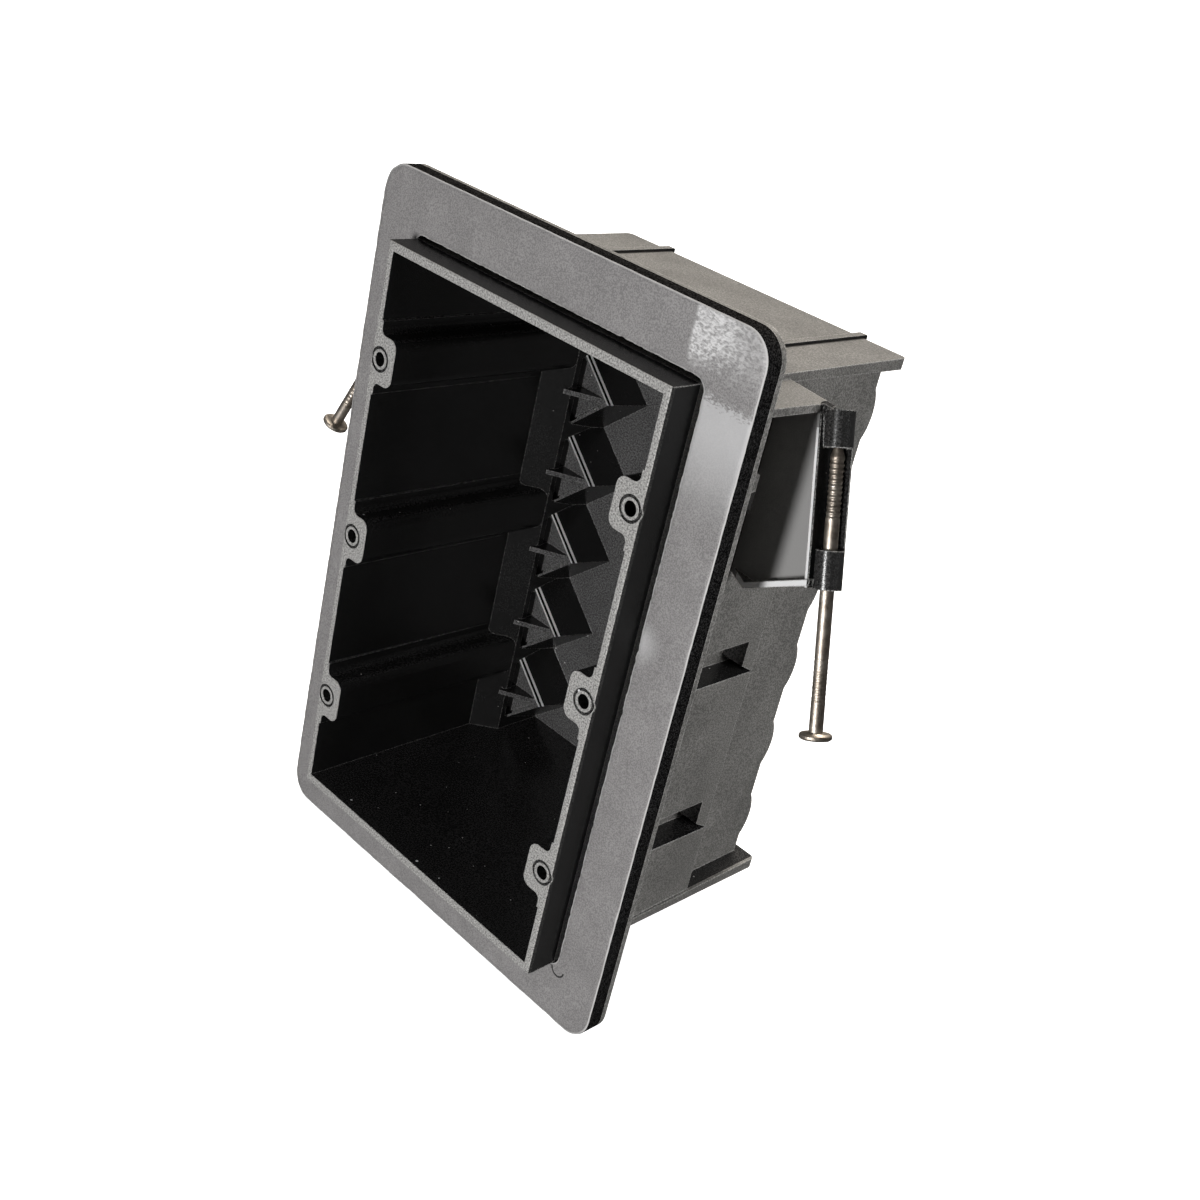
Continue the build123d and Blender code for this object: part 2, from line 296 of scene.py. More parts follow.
def grain_group():
    """Fine grain, slow mottle and sparse specks from object coordinates."""
    tree, given, result = new_group(
        "surface grain",
        [("Grain Size", 0.6), ("Mottle Size", 12.0), ("Speck Size", 0.8), ("Speck Chance", 0.04)],
        [("Grain", "NodeSocketFloat"), ("Mottle", "NodeSocketFloat"), ("Specks", "NodeSocketFloat")],
    )
    where = object_place(tree)
    sizes = [given[name] for name in ("Grain Size", "Mottle Size", "Speck Size")]
    fine_scale, slow_scale, speck_scale = [sums(tree, "DIVIDE", 1 / mm, size) for size in sizes]
    fine = place(tree, "ShaderNodeTexNoise", Vector=where, Scale=fine_scale, Detail=2.0, Roughness=0.6)
    slow = place(tree, "ShaderNodeTexNoise", Vector=where, Scale=slow_scale, Detail=3.0, Roughness=0.5)
    cells = place(tree, "ShaderNodeTexVoronoi", Vector=where, Scale=speck_scale)
    lot = place(tree, "ShaderNodeSeparateColor", Color=cells.outputs["Color"]).outputs[0]
    chosen = under(tree, lot, given["Speck Chance"])
    near = under(tree, cells.outputs["Distance"], speck_share)
    tree.links.new(fine.outputs["Fac"], result["Grain"])
    tree.links.new(slow.outputs["Fac"], result["Mottle"])
    tree.links.new(all_of(tree, chosen, near), result["Specks"])
    return tree


grain = grain_group()
print("grain group has", len(grain.nodes), "nodes")

# %% [markdown]
# ## Edges that catch the light
# No moulded edge is perfectly sharp. The Bevel node rounds the shading normal near an edge without
# touching the mesh, and where that rounded normal leaves the flat one there is an edge. The same measure
# serves as a mask for the pale line along the rim and the edges, which is wear and painted highlight at
# once.

# %% Build the edge group
edge_gain = 12.0


def edge_group():
    """Rounded normal near edges and a mask of where the edges are."""
    tree, given, result = new_group(
        "caught edges",
        [("Rounding", 0.4), ("Rub Width", 0.5)],
        [("Normal", "NodeSocketVector"), ("Edge", "NodeSocketFloat")],
    )
    rounded = {}
    for name in ("Rounding", "Rub Width"):
        metres = sums(tree, "MULTIPLY", given[name], mm)
        rounded[name] = place(tree, "ShaderNodeBevel", {"samples": 4}, Radius=metres).outputs["Normal"]
    agree = vectors(tree, "DOT_PRODUCT", rounded["Rub Width"], face_normal(tree))["Value"]
    turned = opposite(tree, agree)
    tree.links.new(rounded["Rounding"], result["Normal"])
    tree.links.new(sums(tree, "MULTIPLY", turned, edge_gain, clamp=True), result["Edge"])
    return tree


edges = edge_group()
print("edge group has", len(edges.nodes), "nodes")

# %% [markdown]
# ## The moulding
# The box is moulded in one near-black plastic. Where the tool is polished, on the inside and round the
# collar, the plastic is smooth, and its colour is darkened further as painted shade of the cavity.
# Where the tool is blasted, on the outer walls, it is greyer and duller. The rim and the bosses end on
# one plane that is painted pale, rubbed wear and painted highlight at once, and crumbs of white flash
# hang just behind it. The zones follow the object's own coordinates and the way each face looks, so they
# stay in place from any side. Some of the sizes that bound them are measured on the solids or read from
# the part's record. The rest are the part's own sizes or given one by one.

# %% Measure the zones on the solid
touching = mm / 100
rim_points = [vertex.co for vertex in body.data.vertices if vertex.co.y < touching]
collar_half = (max(abs(point.x) for point in rim_points), max(abs(point.z) for point in rim_points))
foam_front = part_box("foam_gasket")[0].y
wall = 1.7 * mm
rim_depth = 0.15 * mm
flash_depth = 3.5 * mm
facet_depth = 50.0 * mm
groove_lips = (64.1 * mm, 65.5 * mm)
groove_lip = 0.34 * mm
bracket_depth = 36.3 * mm
bracket_yaw = math.radians(9.5)
rib_forward = 1.9 * mm
tube_reach = 4.3 * mm
nail_mount = mount_named("nail_point_right")
stud_level = mount_named("stud_face")["pos_m"][2]
stud_rib_place = 31.5 * mm
stud_rib_half = 1.6 * mm
stud_rib_high = 0.65 * mm
plate_start = 15.0 * mm
ledge_start = 38.0 * mm
print("collar in mm:", in_mm(2 * half for half in collar_half), "gasket front at", *in_mm([foam_front]))

# %% [markdown]
# A zone also depends on which way its faces look. A face's normal has a part along each axis between -1
# and 1, and the limits below say how far a face has to lean to count.

# %% Mask the zones of the moulding
looks_outward = 0.25
looks_back = 0.4
looks_up = 0.6
lip_least_up = 0.1
lip_most_up = 0.96
lip_most_front = 0.6
looks_front = 0.75


def zone_masks(tree, axes, looks):
    """Masks for painted shade in the polished zone and on the collar's sides, and of the pale rim."""
    narrow = within(tree, axes["X"], collar_half[0])
    low = within(tree, axes["Z"], collar_half[1])
    near_end = opposite(tree, within(tree, axes["Z"], collar_half[1] - 2 * wall))
    away = [all_of(tree, sums(tree, "SIGN", axes[axis]), looks[axis]) for axis in "XZ"]
    sideways, endways = [over(tree, lean, looks_outward) for lean in away]
    outside = sums(tree, "MAXIMUM", sideways, all_of(tree, near_end, endways))
    outside = sums(tree, "MAXIMUM", over(tree, looks["Y"], looks_back), outside)
    inside = all_of(tree, narrow, low, opposite(tree, outside))
    front = under(tree, axes["Y"], foam_front)
    rim = under(tree, axes["Y"], rim_depth)
    return sums(tree, "MAXIMUM", inside, front), all_of(tree, front, outside), rim


def stud_rib_shadow(tree, axes):
    """Mask of the painted shadow at the foot of the two ribs on the stud plate."""
    above_foot = over(tree, axes["Z"], stud_level - stud_rib_high / 2)
    under_top = under(tree, axes["Z"], stud_level + stud_rib_high)
    from_rib = sums(tree, "SUBTRACT", sums(tree, "ABSOLUTE", axes["X"]), stud_rib_place)
    behind_gasket = over(tree, axes["Y"], plate_start)
    return all_of(tree, above_foot, under_top, within(tree, from_rib, stud_rib_half), behind_gasket)


def ledge_shadow(tree, axes, looks):
    """Mask of the top of the bottom plate's ledge, which gets a painted shadow."""
    behind_gasket = over(tree, axes["Y"], plate_start)
    low = under(tree, axes["Z"], wall - collar_half[1])
    outer = over(tree, sums(tree, "ABSOLUTE", axes["X"]), ledge_start)
    return all_of(tree, behind_gasket, low, outer, over(tree, looks["Z"], looks_up))


def groove_lip_highlight(tree, axes, looks):
    """Mask of the two lips of the groove round each break-in flap, which get a painted highlight."""
    lips = [within(tree, sums(tree, "SUBTRACT", axes["Y"], lip), groove_lip) for lip in groove_lips]
    upper = over(tree, looks["Z"], lip_least_up)
    across = within(tree, looks["Y"], lip_most_front)
    slanted = all_of(tree, upper, across, within(tree, looks["Z"], lip_most_up))
    return all_of(tree, sums(tree, "ADD", *lips), slanted)


def bracket_masks(tree, axes, looks):
    """Masks of tubes, painted-light webs and painted-highlight rib fronts. Both brackets are read as the
    right one.
    """
    across = sums(tree, "ABSOLUTE", axes["X"])
    mirrored = place(tree, "ShaderNodeCombineXYZ", X=across, Y=axes["Y"], Z=axes["Z"]).outputs[0]
    from_tip = vectors(tree, "SUBTRACT", mirrored, nail_mount["pos_m"])["Vector"]
    turned = vectors(tree, "CROSS_PRODUCT", from_tip, nail_mount["axis"])["Vector"]
    reach = vectors(tree, "LENGTH", turned)["Value"]
    beyond = over(tree, across, collar_half[0] + wall / 2)
    tube = all_of(tree, beyond, under(tree, reach, tube_reach))
    ahead = sums(tree, "MULTIPLY", sums(tree, "SUBTRACT", across, collar_half[0]), -math.sin(bracket_yaw))
    behind = sums(tree, "SUBTRACT", bracket_depth, axes["Y"])
    ahead = sums(tree, "ADD", ahead, sums(tree, "MULTIPLY", behind, math.cos(bracket_yaw)))
    past = over(tree, ahead, rib_forward)
    clear = over(tree, axes["Y"], bracket_depth / 2)
    front = all_of(tree, beyond, clear, under(tree, looks["Y"], -looks_front), opposite(tree, tube))
    return tube, all_of(tree, front, opposite(tree, past)), all_of(tree, front, past)


print("zones bounded at", *in_mm([foam_front, facet_depth, *groove_lips]), "mm from the rim")

# %% [markdown]
# The masks now choose between the colours. Most colours have a dark and a light end, joined by a ramp
# over the grain. The webs' painted light, the rib fronts' painted highlight and the collar sides' painted
# shade stay plain. The pale edge lines, wear and painted highlight at once, go on last but for two
# painted shadows on the outer plates.

# %% Finish the moulding
# The polished colours are painted shade: the cavity and the collar are made near-black where shade falls.
painted_shade_black = grey(0.010)
painted_shade_grey = (0.042, 0.041, 0.041)
blasted_dark = (0.105, 0.103, 0.098)
blasted_light = (0.265, 0.258, 0.245)
# The rubbed colours are wear and painted highlight on the rim and thin edges; the light one also colours
# the specks.
rim_wear_and_highlight_dark = (0.22, 0.215, 0.21)
pale_wear_and_highlight = (0.60, 0.59, 0.57)
# Painted light on the bracket webs.
web_painted_light = (0.34, 0.335, 0.33)
# Painted light on the deep facets that look to the front.
painted_facet_light = (0.13, 0.128, 0.128)
# White of the flash, and painted highlight on the groove lips and the rib fronts.
white_flash_and_highlight = grey(1.0)
facet_front = 0.8
side_lean = 0.6
# Share of painted shade on the cavity's side walls.
side_shade_share = 0.75
rub_spared = 0.75
rub_gaps = grey(0.25)
polished_rough = grey(0.24)
blasted_rough = (grey(0.45), grey(0.65))
moulding_shine = 0.6
collar_shine_loss = 0.5
moulding_bump = 0.07 * mm


def inside_colour(tree, surface, axes, looks, shaded_collar_side):
    """Polished plastic in painted shade, with specks and flash, and painted light on facets and groove
    lips.
    """
    # The polished zone's colour is painted shade of the cavity.
    colour = ramp(tree, surface["Grain"], (0.42, painted_shade_black), (0.60, painted_shade_grey))
    # Deep faces that look to the front get painted light.
    lit = all_of(tree, under(tree, looks["Y"], -facet_front), over(tree, axes["Y"], facet_depth))
    facets = ramp(tree, surface["Grain"], (0.4, painted_shade_grey), (0.62, painted_facet_light))
    colour = mixed(tree, lit, colour, facets)
    colour = mixed(tree, surface["Specks"], colour, pale_wear_and_highlight)
    flash = use_group(tree, grain, Speck_Size=2.6, Speck_Chance=0.3)
    behind_rim = under(tree, axes["Y"], flash_depth)
    colour = mixed(tree, all_of(tree, flash["Specks"], behind_rim), colour, white_flash_and_highlight)
    # The cavity's side walls get painted shade.
    shaded_side_wall = opposite(tree, within(tree, looks["X"], side_lean))
    colour = mixed(tree, sums(tree, "MULTIPLY", shaded_side_wall, side_shade_share), colour, painted_shade_black)
    # The groove lips get a painted highlight.
    colour = mixed(tree, groove_lip_highlight(tree, axes, looks), colour, white_flash_and_highlight)
    # The collar's outer sides get painted shade.
    return mixed(tree, shaded_collar_side, colour, painted_shade_black)


def moulding_finish():
    """Near-black plastic: polished with painted shade inside, blasted outside, rim and edges worn and
    painted light.
    """
    material, tree, shader = new_material("moulding_plastic")
    surface = use_group(tree, grain, Grain_Size=0.42, Mottle_Size=14.0, Speck_Size=1.5)
    edge = use_group(tree, edges, Rounding=0.35, Rub_Width=0.45)
    axes = parts_of(tree, object_place(tree))
    looks = parts_of(tree, face_normal(tree))
    polished, shaded_collar_side, rim = zone_masks(tree, axes, looks)
    tube, web, ribs = bracket_masks(tree, axes, looks)
    polished = sums(tree, "MAXIMUM", polished, tube)
    inner = inside_colour(tree, surface, axes, looks, shaded_collar_side)
    outer = ramp(tree, surface["Grain"], (0.42, blasted_dark), (0.59, blasted_light))
    pale = ramp(tree, surface["Grain"], (0.38, rim_wear_and_highlight_dark), (0.62, pale_wear_and_highlight))
    colour = mixed(tree, polished, outer, inner)
    tint = ramp(tree, surface["Mottle"], (0.35, grey(0.85)), (0.65, grey(1.1)))
    colour = mixed(tree, 1.0, colour, tint, "MULTIPLY")
    # The rim gets wear and painted highlight, the webs painted light and the rib fronts a painted
    # highlight.
    for mask, paint in ((rim, pale), (web, web_painted_light), (ribs, white_flash_and_highlight)):
        colour = mixed(tree, mask, colour, paint)
    # Thin edges get pale lines that are wear and painted highlight at once.
    broken = ramp(tree, surface["Grain"], (0.42, rub_gaps), (0.58, grey(1.0)))
    spared = sums(tree, "SUBTRACT", polished, shaded_collar_side)
    kept = sums(tree, "MULTIPLY_ADD", spared, -rub_spared, 1.0, clamp=True)
    kept = sums(tree, "MAXIMUM", kept, sums(tree, "MAXIMUM", rim, tube))
    colour = mixed(tree, all_of(tree, edge["Edge"], broken, kept), colour, pale_wear_and_highlight)
    # Painted shadow at the foot of the stud ribs.
    colour = mixed(tree, stud_rib_shadow(tree, axes), colour, painted_shade_black)
    # Painted shadow on the top of the bottom plate's ledge.
    colour = mixed(tree, ledge_shadow(tree, axes, looks), colour, painted_shade_grey)
    outer_rough = ramp(tree, surface["Grain"], (0.3, blasted_rough[0]), (0.7, blasted_rough[1]))
    bump = place(tree, "ShaderNodeBump", Strength=0.4, Distance=moulding_bump, Height=surface["Grain"],
                 Normal=edge["Normal"])
    fill(tree, shader, Base_Color=colour, Roughness=mixed(tree, polished, outer_rough, polished_rough),
         Normal=bump.outputs["Normal"],
         Specular_IOR_Level=sums(tree, "MULTIPLY_ADD", shaded_collar_side, -collar_shine_loss, moulding_shine))
    return material


moulding = moulding_finish()
body.data.materials.clear()
body.data.materials.append(moulding)
print("moulding finish has", len(moulding.node_tree.nodes), "nodes")

# %% [markdown]
# ## The foam gasket
# The gasket is die-cut from sheet foam with a smooth skin on its front. The skin is crinkled where it
# was handled, the cut edge shows dark pores, and the cut-out is a little ragged. A closed ring of quads
# is laid between the outer outline and the cut-out, so that its front can be crinkled by noise and its
# edges rounded.

# %% Measure the solid gasket
foam_low, foam_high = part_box("foam_gasket")
foam_points = [vertex.co.copy() for vertex in frame["nodes"]["foam_gasket"].data.vertices]
foam_outer = (foam_high.x, foam_high.z)
foam_corner = foam_high.x - max(abs(p.x) for p in foam_points if abs(p.z) > foam_high.z - touching)
straight = min(abs(point.z) for point in foam_points)
foam_inner_half = min(abs(point.x) for point in foam_points if abs(point.z) < straight + touching)
crosswise = min(abs(point.x) for point in foam_points)
foam_inner_high = min(abs(point.z) for point in foam_points if abs(point.x) < crosswise + touching)
foam_inner = (foam_inner_half, foam_inner_high)
foam_inner_corner = foam_inner_half - crosswise
print("gasket's outer half sizes and corner in mm:", in_mm((*foam_outer, foam_corner), 2))
print("cut-out's half sizes and corner in mm:", in_mm((*foam_inner, foam_inner_corner), 2))

# %% [markdown]
# The sheet is a stack of closed rings that runs from the back, up the outer side, over the front and
# down into the cut-out. Noise pushes the front's points back and the cut-out's points into the foam,
# never out of the solid that the sheet stands for.

# %% Lay the gasket's ring
foam_steps_round = 720
foam_steps_across = 12
foam_crinkle = 0.22 * mm
foam_crinkle_size = 3.2 * mm
foam_crinkle_rough = 0.8
foam_crinkle_middle = 0.5
foam_crinkle_swing = 0.6
foam_ragged = 0.35 * mm
foam_ragged_size = 1.6 * mm
foam_ragged_rough = 0.9
noise_gap = 2.0
noise_octaves = 3
foam_edge_round = 0.5 * mm
foam_edge_inset = 0.3


def rounded_outline(half, corner, count):
    """Points evenly spread along a rounded rectangle, starting in the middle of its right side."""
    straight_high, straight_wide = 2 * (half[1] - corner), 2 * (half[0] - corner)
    bend = math.pi * corner / 2
    whole = 2 * (straight_high + straight_wide) + 4 * bend
    sides = 2 * [(straight_high, half[0], half[1] - corner), (straight_wide, half[1], half[0] - corner)]
    points = []
    for step in range(count):
        run = whole * step / count + straight_high / 2
        point = None
        for number, (length, reach, start) in enumerate(sides):
            turn = Matrix.Rotation(number * math.pi / 2, 2)
            if run <= length:
                point = turn @ Vector((reach, run - start))
                break
            run -= length
            if run <= bend:
                angle = run / corner
                centre = Vector((reach - corner, start))
                point = turn @ (centre + corner * Vector((math.cos(angle), math.sin(angle))))
                break
            run -= bend
        if point is None:
            point = Vector((half[0], run - (half[1] - corner)))
        points.append(point)
    return points


def sheet_point(out, cut, share, deep):
    """One point of the sheet: a share of the way from the outline to the cut-out, at one depth."""
    front = foam_low.y
    flat = out.lerp(cut, share)
    inset = (cut - out).normalized() * foam_edge_round * foam_edge_inset
    if deep == front and share == 0.0:
        flat = flat + inset
    if deep == front and share == 1.0:
        flat = flat - inset
    spot = Vector((flat.x, deep, flat.y))
    if deep == front:
        crinkle = noise.fractal(spot / foam_crinkle_size, foam_crinkle_rough, noise_gap, noise_octaves)
        spot.y += foam_crinkle * max(0.0, foam_crinkle_middle + foam_crinkle_swing * crinkle)
    if share == 1.0:
        tear = noise.fractal(spot / foam_ragged_size, foam_ragged_rough, noise_gap, noise_octaves)
        pull = foam_ragged * abs(tear)
        spot.x -= math.copysign(pull, -spot.x) * (abs(flat.x) > foam_inner[0] - mm)
        spot.z -= math.copysign(pull, -spot.z) * (abs(flat.y) > foam_inner[1] - mm)
    return spot


def foam_sheet():
    """A closed ring of quads: front skin, rounded edges, cut sides and back."""
    outer = rounded_outline(foam_outer, foam_corner, foam_steps_round)
    inner = rounded_outline(foam_inner, foam_inner_corner, foam_steps_round)
    mesh = bmesh.new()
    front, back = foam_low.y, foam_high.y
    side_levels = [back, front + (back - front) / 2, front + foam_edge_round]
    sections = [(0.0, level) for level in side_levels]
    sections += [(step / foam_steps_across, front) for step in range(foam_steps_across + 1)]
    sections += [(1.0, level) for level in reversed(side_levels)]
    rings = []
    for share, deep in sections:
        spots = [sheet_point(out, cut, share, deep) for out, cut in zip(outer, inner)]
        rings.append([mesh.verts.new(spot) for spot in spots])
    for first, second in zip(rings, rings[1:] + rings[:1]):
        for here in range(foam_steps_round):
            after = (here + 1) % foam_steps_round
            mesh.faces.new((first[here], first[after], second[after], second[here]))
    return smooth_object(mesh, "gasket_sheet")


gasket = foam_sheet()
print("gasket sheet has", len(gasket.data.polygons), "faces")

# %% [markdown]
# The skin gets painted highlights: a crinkled patch of painted sheen in the top right corner, a smooth
# band below it that dies out downward, and a soft spot beside the collar. The knife ran on a little
# below the cut-out's lower right corner and left a small dark arc. All four are masks, placed one by one.

# %% Finish the gasket
foam_skin = (0.235, 0.226, 0.226)
foam_skin_light = (0.37, 0.357, 0.354)
# Painted highlight on the gasket's rounded front edge.
foam_edge_highlight = (0.62, 0.61, 0.60)
foam_cut = grey(0.003)
foam_pore = (0.035, 0.034, 0.034)
# Colours of the painted sheen.
painted_sheen_dark = (0.36, 0.35, 0.35)
painted_sheen_light = (0.86, 0.85, 0.85)
sheen_left = 39.5 * mm
sheen_right = 57.0 * mm
sheen_low = 75.0 * mm
sheen_high = 84.0 * mm
sheen_least = 0.45
crinkle_wander = 4.5 * mm
crinkle_size = 1.0 * mm
crinkle_slant = math.radians(-35)
crinkle_stretch = 2.0
# The band and the spot are painted highlight.
band_highlight = (0.66, 0.655, 0.66)
band_strength = 0.8
band_left = 42.0 * mm
band_soft = 3.0 * mm
band_top = 71.5 * mm
band_fade = 67.0 * mm
band_end = 44.0 * mm
spot_centre = (46.4 * mm, 15.5 * mm)
spot_reach = 6.5 * mm
spot_strength = 0.7
overcut_centre = (46.6 * mm, -74.6 * mm)
overcut_radius = 1.9 * mm
overcut_wide = 0.22 * mm
skin_front = 0.6
lip_turn = (0.93, 0.85)
foam_rough = 0.5
foam_shine = 0.5
foam_bump = 0.12 * mm


def distance_from(tree, axes, centre):
    """Distance in the gasket's plane from one point."""
    away = [sums(tree, "SUBTRACT", axes[axis], middle) for axis, middle in zip("XZ", centre)]
    squares = [sums(tree, "MULTIPLY", offset, offset) for offset in away]
    return sums(tree, "SQRT", sums(tree, "ADD", *squares))


def painted_sheen(tree, where, crinkle):
    """Masks of the painted highlights, the crinkled patch and the smooth band with the spot, and of the
    overcut.
    """
    axes = parts_of(tree, where)
    wander = sums(tree, "MULTIPLY_ADD", crinkle, 2 * crinkle_wander, axes["Z"])
    wander = sums(tree, "SUBTRACT", wander, crinkle_wander)
    patch = all_of(tree, fade(tree, axes["X"], sheen_left - mm / 2, sheen_left + mm),
                   fade(tree, wander, sheen_low, sheen_high))
    outward = sums(tree, "ADD", sheen_least, fade(tree, axes["X"], sheen_right, sheen_left))
    patch = sums(tree, "MULTIPLY", patch, outward, clamp=True)
    band = all_of(tree, fade(tree, axes["X"], band_left, band_left + band_soft),
                  fade(tree, wander, band_top + mm, band_top - mm),
                  fade(tree, axes["Z"], band_end, band_fade))
    spot = fade(tree, distance_from(tree, axes, spot_centre), spot_reach, 0.0)
    band = sums(tree, "MAXIMUM", band, sums(tree, "MULTIPLY", spot, spot_strength))
    from_arc = sums(tree, "SUBTRACT", distance_from(tree, axes, overcut_centre), overcut_radius)
    lower_half = under(tree, axes["Z"], overcut_centre[1])
    return patch, band, all_of(tree, within(tree, from_arc, overcut_wide), lower_half)


def foam_finish():
    """Crinkled grey skin with painted highlights on the front, dark pores on the cut edge."""
    material, tree, shader = new_material("gasket_foam")
    surface = use_group(tree, grain, Grain_Size=0.34, Mottle_Size=9.0, Speck_Size=1.4)
    where = object_place(tree)
    slanted = place(tree, "ShaderNodeMapping", Vector=where, Rotation=(0.0, crinkle_slant, 0.0),
                    Scale=(1.0, 1.0, crinkle_stretch)).outputs[0]
    crinkle = place(tree, "ShaderNodeTexNoise", Vector=slanted, Scale=1 / crinkle_size, Detail=3.0,
                    Distortion=0.5).outputs["Fac"]
    turned = sums(tree, "MULTIPLY", parts_of(tree, face_normal(tree))["Y"], -1.0)
    front = over(tree, turned, skin_front)
    skin = ramp(tree, surface["Grain"], (0.4, foam_skin), (0.6, foam_skin_light))
    tint = ramp(tree, surface["Mottle"], (0.35, grey(0.94)), (0.65, grey(1.06)))
    skin = mixed(tree, 1.0, skin, tint, "MULTIPLY")
    patch, band, overcut = painted_sheen(tree, where, crinkle)
    # The crinkled patch gets painted sheen.
    skin = mixed(tree, patch, skin, ramp(tree, crinkle, (0.34, painted_sheen_dark), (0.62, painted_sheen_light)))
    # The band and the spot get a painted highlight.
    skin = mixed(tree, sums(tree, "MULTIPLY", band, band_strength), skin, band_highlight)
    skin = mixed(tree, overcut, skin, foam_pore)
    # The rounded front edge gets a painted highlight.
    skin = mixed(tree, fade(tree, turned, *lip_turn), skin, foam_edge_highlight)
    pores = ramp(tree, surface["Grain"], (0.45, foam_cut), (0.65, foam_pore))
    height = sums(tree, "ADD", crinkle, surface["Grain"])
    bump = place(tree, "ShaderNodeBump", Strength=0.5, Distance=foam_bump, Height=height)
    fill(tree, shader, Base_Color=mixed(tree, front, pores, skin), Roughness=foam_rough,
         Specular_IOR_Level=sums(tree, "MULTIPLY", front, foam_shine), Normal=bump.outputs["Normal"])
    return material


gasket.data.materials.append(foam_finish())
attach(gasket, "box")
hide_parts("foam_gasket")
print("gasket rides on the box")

# %% [markdown]
# ## The nails
# Each nail is drawn wire with a pressed head, two bands of rolled rings that grip the stud, and a
# tapered point. Rings repeat along a path, which is what Geometry Nodes are for: a straight curve is
# resampled finely, its radius is worked out from the distance along it, and a circle is swept over it.

# %% Build the nail tree
nail_sizes = {
    "Length": 63.5 * mm,
    "Shank": 1.5 * mm,
    "Head": 3.5 * mm,
    "Head Thick": 1.3 * mm,
    "Point": 5.0 * mm,
    "Ring Pitch": 1.1 * mm,
    "Ring Deep": 0.16 * mm,
    "Upper Start": 46.0 * mm,
    "Upper End": 58.0 * mm,
    "Lower Start": 8.0 * mm,
    "Lower End": 17.0 * mm,
}
nail_rings = 900
nail_sides = 32
lower_ring_share = 0.35
head_round = 0.35 * mm
point_least = 0.05 * mm


def nail_tree():
    """Geometry Nodes: sweep a circle along the nail with a radius that knows head, rings and point."""
    tree = bpy.data.node_groups.new("rolled nail", "GeometryNodeTree")
    sockets = tree.interface
    sockets.new_socket(name="Geometry", in_out="OUTPUT", socket_type="NodeSocketGeometry")
    for name, value in nail_sizes.items():
        socket = sockets.new_socket(name=name, in_out="INPUT", socket_type="NodeSocketFloat")
        socket.default_value = value
    sockets.new_socket(name="Material", in_out="INPUT", socket_type="NodeSocketMaterial")
    given = tree.nodes.new("NodeGroupInput").outputs
    result = tree.nodes.new("NodeGroupOutput").inputs

    def maths(operation, first, second=0.0):
        return sums(tree, operation, first, second)

    end = place(tree, "ShaderNodeCombineXYZ", Z=given["Length"])
    line = place(tree, "GeometryNodeCurvePrimitiveLine", End=end.outputs[0])
    fine = place(tree, "GeometryNodeResampleCurve", Curve=line.outputs[0], Count=nail_rings)
    along = place(tree, "GeometryNodeSplineParameter").outputs["Length"]
    left = maths("SUBTRACT", given["Length"], along)

    def between(start, stop):
        return all_of(tree, over(tree, along, given[start]), under(tree, along, given[stop]))

    lower_band = maths("MULTIPLY", between("Lower Start", "Lower End"), lower_ring_share)
    bands = maths("ADD", between("Upper Start", "Upper End"), lower_band)
    wave = maths("SINE", maths("MULTIPLY", maths("DIVIDE", along, given["Ring Pitch"]), 2 * math.pi))
    half_deep = maths("MULTIPLY", given["Ring Deep"], 0.5)
    groove = maths("MULTIPLY", maths("MULTIPLY", maths("ADD", wave, 1.0), half_deep), bands)
    shank = maths("SUBTRACT", given["Shank"], groove)
    taper = maths("MULTIPLY", maths("DIVIDE", left, given["Point"]), given["Shank"])
    shank = maths("MINIMUM", shank, maths("MAXIMUM", taper, point_least))
    rim = maths("MINIMUM", along, maths("SUBTRACT", given["Head Thick"], along))
    rounded = maths("MINIMUM", maths("DIVIDE", rim, head_round), 1.0)
    head = maths("SUBTRACT", given["Head"], maths("MULTIPLY", opposite(tree, rounded), head_round))
    in_head = under(tree, along, given["Head Thick"])
    radius = maths("MAXIMUM", maths("MULTIPLY", in_head, head), shank)
    circle = place(tree, "GeometryNodeCurvePrimitiveCircle", Resolution=nail_sides, Radius=1.0)
    sweep = place(tree, "GeometryNodeCurveToMesh", Curve=fine.outputs[0], Profile_Curve=circle.outputs[0],
                  Scale=radius, Fill_Caps=True)
    real = place(tree, "GeometryNodeRealizeInstances", Geometry=sweep.outputs[0])
    done = place(tree, "GeometryNodeSetMaterial", Geometry=real.outputs[0], Material=given["Material"])
    tree.links.new(done.outputs[0], result["Geometry"])
    return tree


rolled_nail = nail_tree()
print("nail tree has", len(rolled_nail.nodes), "nodes")

# %% [markdown]
# The wire is bare steel with a thin brown film. The slow mottle moves the colour between dull and
# bright, and the fine grain breaks up both the colour and the shine.

# %% Finish the nail steel
steel_bright = (0.62, 0.56, 0.49)
steel_dull = (0.22, 0.165, 0.12)
steel_rough = (grey(0.34), grey(0.58))
steel_bump = 0.05 * mm


def steel_finish():
    """Drawn steel with a brown tint and fine rolled scale."""
    material, tree, shader = new_material("nail_steel")
    surface = use_group(tree, grain, Grain_Size=0.35, Mottle_Size=3.0, Speck_Size=0.6)
    colour = ramp(tree, surface["Mottle"], (0.4, steel_dull), (0.6, steel_bright))
    rough = ramp(tree, surface["Grain"], (0.3, steel_rough[0]), (0.7, steel_rough[1]))
    bump = place(tree, "ShaderNodeBump", Strength=0.4, Distance=steel_bump, Height=surface["Grain"])
    fill(tree, shader, Base_Color=mixed(tree, surface["Grain"], colour, steel_bright), Roughness=rough,
         Normal=bump.outputs["Normal"], Metallic=1.0)
    return material


steel = steel_finish()
print("steel finish has", len(steel.node_tree.nodes), "nodes")

# %% [markdown]
# The record holds a mount at each nail's point, with the nail's axis. Each nail is swept upright at the
# origin, baked into a plain mesh, and then turned along that axis so that its point meets the mount.

